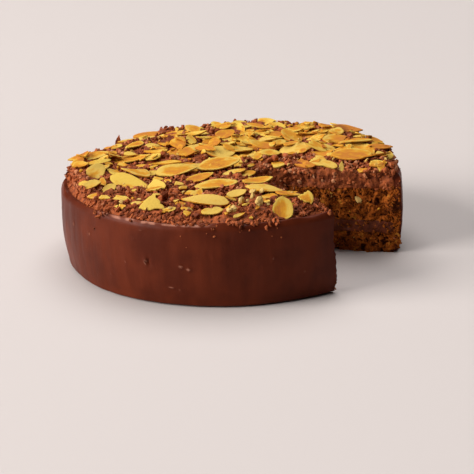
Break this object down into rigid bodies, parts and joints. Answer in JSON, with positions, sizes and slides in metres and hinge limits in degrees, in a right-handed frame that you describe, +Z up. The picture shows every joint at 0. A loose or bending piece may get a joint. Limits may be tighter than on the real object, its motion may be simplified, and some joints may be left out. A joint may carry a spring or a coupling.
{
  "type": "chocolate layer cake",
  "caption": "Round iced chocolate layer cake with a slice cut out, showing sponge and filling, topped with chocolate crumbs and flaked almonds.",
  "frame": {"origin": "centre of the cake's underside", "axes": "+Z up, -Y to the front; the missing slice opens between 33 and 78 degrees from the front towards +X"},
  "size_m": [0.2005, 0.1996, 0.0579],
  "materials": {
    "sponge": "rough open crumb, orange-brown",
    "filling": "dense soft chocolate fudge",
    "icing": "satin chocolate icing with faint smears",
    "crumbs": "dull crumbled chocolate",
    "almond": "dry flaked almond, pale to toasted"
  },
  "bodies": {
    "root": {"lower_sponge": "sponge", "filling": "filling", "upper_sponge": "sponge", "icing": "icing"}
  },
  "joints": []
}
